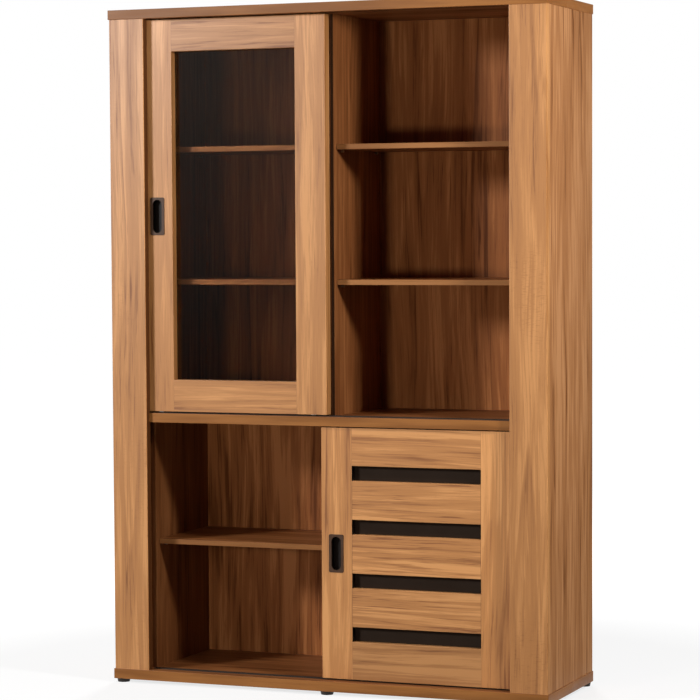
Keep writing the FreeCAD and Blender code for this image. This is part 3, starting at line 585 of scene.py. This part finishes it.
# ---------------------------------------------------------------- the smoked glass of the upper door
# One pane of grey float glass 3 mm thick, polished on both faces, held in the rebate of the door by
# black beads that are pressed in from behind.
glass = bpy.data.materials.new("smoked glass")
glass.use_nodes = True
tree = glass.node_tree
pane = tree.nodes["Principled BSDF"]
pane.inputs["Base Color"].default_value = (0.85, 0.81, 0.76, 1)
pane.inputs["Transmission Weight"].default_value = 1.0
pane.inputs["Roughness"].default_value = 0.0
pane.inputs["IOR"].default_value = 1.5
clear = add_node(tree, "BsdfTransparent", {"Color": (0.50, 0.46, 0.42, 1)})
path = add_node(tree, "LightPath")
either = add_node(tree, "MixShader", {0: path.outputs["Is Shadow Ray"], 1: pane.outputs[0],
                                      2: clear.outputs[0]})
tree.links.new(either.outputs[0], tree.nodes["Material Output"].inputs["Surface"])
dress(glass, "smoked_glass", "upper_door_glass")

# ---------------------------------------------------------------- the beads, tracks, guides and feet
# All of these are black plastic: pressed or extruded strips, channels that the doors run in, the
# housings of their rollers, and round feet under the base.
black_plastic = moulded("black plastic", (0.018, 0.0125, 0.0095), (0.050, 0.038, 0.030), gloss=0.5,
                        specular=0.3)
dress(black_plastic, "black_plastic", "upper_door_glass_beads", "lower_door_track", "upper_door_track",
      "lower_door_guide_channel", "upper_door_guide_channel", "upper_door_roller_housings",
      "lower_door_roller_housings", "upper_door_top_guides", "lower_door_top_guides", "feet")

# ---------------------------------------------------------------- the rollers
# Two small wheels under each door, turned from undyed nylon. Their rims are rubbed pale where they
# run on the track.
nylon = moulded("undyed nylon", (0.62, 0.60, 0.54), (0.78, 0.77, 0.73), grain=1600.0, gloss=0.42,
                relief=0.00005)
dress(nylon, "nylon", "upper_door_left_wheel", "upper_door_right_wheel", "lower_door_left_wheel",
      "lower_door_right_wheel")

# ---------------------------------------------------------------- the pins, axles and screws
# Small steel parts with a bright zinc coat, that carry the shelves, hold the rollers and fasten the
# back. The coat is cloudy and finely scratched.
steel = bpy.data.materials.new("zinc-plated steel")
steel.use_nodes = True
tree = steel.node_tree
surface = tree.nodes["Principled BSDF"]
spot = add_node(tree, "TexCoord").outputs["Object"]
clouds = noise(tree, spot, (160, 160, 160), detail=3.0)
scratches = noise(tree, spot, (1500, 1500, 180), detail=2.0)
toned = blended(tree, ranged(tree, clouds, 0.35, 0.68), (0.66, 0.65, 0.62, 1), (0.46, 0.45, 0.42, 1))
edges = add_node(tree, "Group", node_tree=wear_and_highlight)
edges.inputs["Reach"].default_value = 0.0004
toned = blended(tree, edges.outputs[0], toned, (0.80, 0.79, 0.77, 1))
bump = add_node(tree, "Bump", {"Height": scratches, "Strength": 0.2, "Distance": 0.00005})
tree.links.new(toned, surface.inputs["Base Color"])
tree.links.new(ranged(tree, clouds, 0.3, 0.7, 0.28, 0.45), surface.inputs["Roughness"])
tree.links.new(bump.outputs[0], surface.inputs["Normal"])
surface.inputs["Metallic"].default_value = 1.0
dress(steel, "plated_steel", "back_panel_screws", "shelf_pins", "upper_door_roller_axles",
      "lower_door_roller_axles")

# ---------------------------------------------------------------- the dowels
# Turned and glued beech pegs inside every joint, with the fine flecks that beech has. They are
# hidden once the bookcase stands together.
BEECH = ((0.70, 0.48, 0.29), (0.58, 0.37, 0.20), (0.36, 0.20, 0.10))
beech = foil("beech peg", GRAIN_LEVEL, ["carcass_dowels"], along=8.0, colours=BEECH, bands=0.6, streaks=0.6,
             rings=0.1, flecks=0.5, specular=0.3)
dress(beech, "beech", "carcass_dowels", "upper_door_dowels", "lower_door_dowels")

# ---------------------------------------------------------------- the dust seals
# Strips of short black pile, stuck along the front edges of the partitions, that brush the backs
# of the doors. The tufts catch a little light at their tips.
pile = bpy.data.materials.new("black pile")
pile.use_nodes = True
tree = pile.node_tree
surface = tree.nodes["Principled BSDF"]
spot = add_node(tree, "TexCoord").outputs["Object"]
tufts = noise(tree, spot, (1400, 1400, 1400), detail=2.0, roughness=0.7)
toned = blended(tree, ranged(tree, tufts, 0.35, 0.7), (0.026, 0.0115, 0.0055, 1), (0.060, 0.028, 0.014, 1))
bump = add_node(tree, "Bump", {"Height": tufts, "Strength": 0.9, "Distance": 0.0008})
tree.links.new(toned, surface.inputs["Base Color"])
tree.links.new(bump.outputs[0], surface.inputs["Normal"])
surface.inputs["Roughness"].default_value = 0.95
surface.inputs["Specular IOR Level"].default_value = 0.1
dress(pile, "pile", "partition_dust_seals")

# ---------------------------------------------------------------- the finished bookcase
# The colours go out as they are.
bpy.context.scene.view_settings.view_transform = "Standard"
